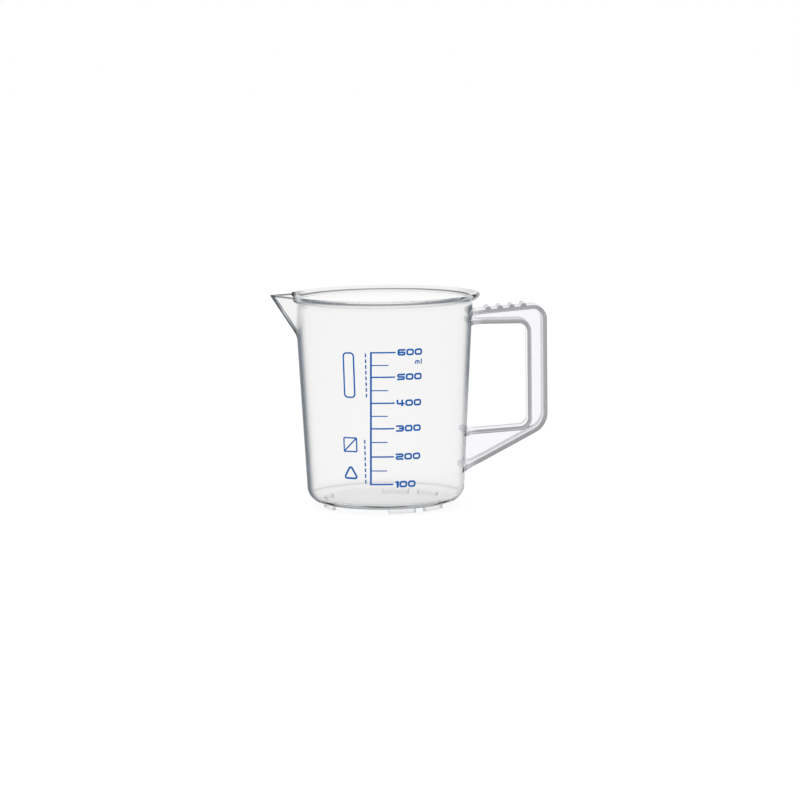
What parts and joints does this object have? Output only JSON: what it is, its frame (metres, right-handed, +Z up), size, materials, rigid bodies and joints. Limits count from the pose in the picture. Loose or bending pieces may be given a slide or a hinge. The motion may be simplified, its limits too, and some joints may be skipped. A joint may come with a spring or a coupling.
{
  "type": "handled measuring beaker",
  "caption": "Slightly conical clear plastic measuring beaker with a pouring spout, flanged rim, two-rail web handle, arc feet and a printed volume scale.",
  "frame": {"origin": "on the vessel's axis, in the plane that the feet stand on", "axes": "+Z up along the vessel's axis, +X towards the handle, -X towards the spout, -Y towards the printed side"},
  "size_m": [0.1603, 0.1116, 0.124],
  "materials": {
    "clear_pp": "clear polypropylene, moulded gloss with a faint blue-grey haze",
    "handle_pp": "clear polypropylene in thicker sections, faintly milky",
    "blue_ink": "opaque blue screen-printing ink"
  },
  "bodies": {
    "root": {"vessel_wall": "clear_pp", "base_corner": "clear_pp", "floor_disc": "clear_pp", "pouring_rim": "clear_pp", "spout": "clear_pp", "foot_1": "clear_pp", "foot_2": "clear_pp", "foot_3": "clear_pp", "foot_4": "clear_pp", "foot_5": "clear_pp", "foot_6": "clear_pp", "handle_outer_rail": "handle_pp", "handle_inner_rail": "handle_pp", "handle_web": "handle_pp", "handle_root_outer_top": "handle_pp", "handle_root_inner_top": "handle_pp", "handle_root_inner_bottom": "handle_pp", "handle_root_outer_bottom": "handle_pp", "thumb_rib_1": "handle_pp", "thumb_rib_2": "handle_pp", "thumb_rib_3": "handle_pp", "thumb_rib_4": "handle_pp", "scale_line": "blue_ink", "major_graduations": "blue_ink", "minor_graduations": "blue_ink", "numeral_100": "blue_ink", "numeral_200": "blue_ink", "numeral_300": "blue_ink", "numeral_400": "blue_ink", "numeral_500": "blue_ink", "numeral_600": "blue_ink", "unit_label": "blue_ink", "marking_panel": "blue_ink", "square_mark": "blue_ink", "triangle_mark": "blue_ink", "upper_dashes": "blue_ink", "lower_dashes": "blue_ink"}
  },
  "joints": []
}
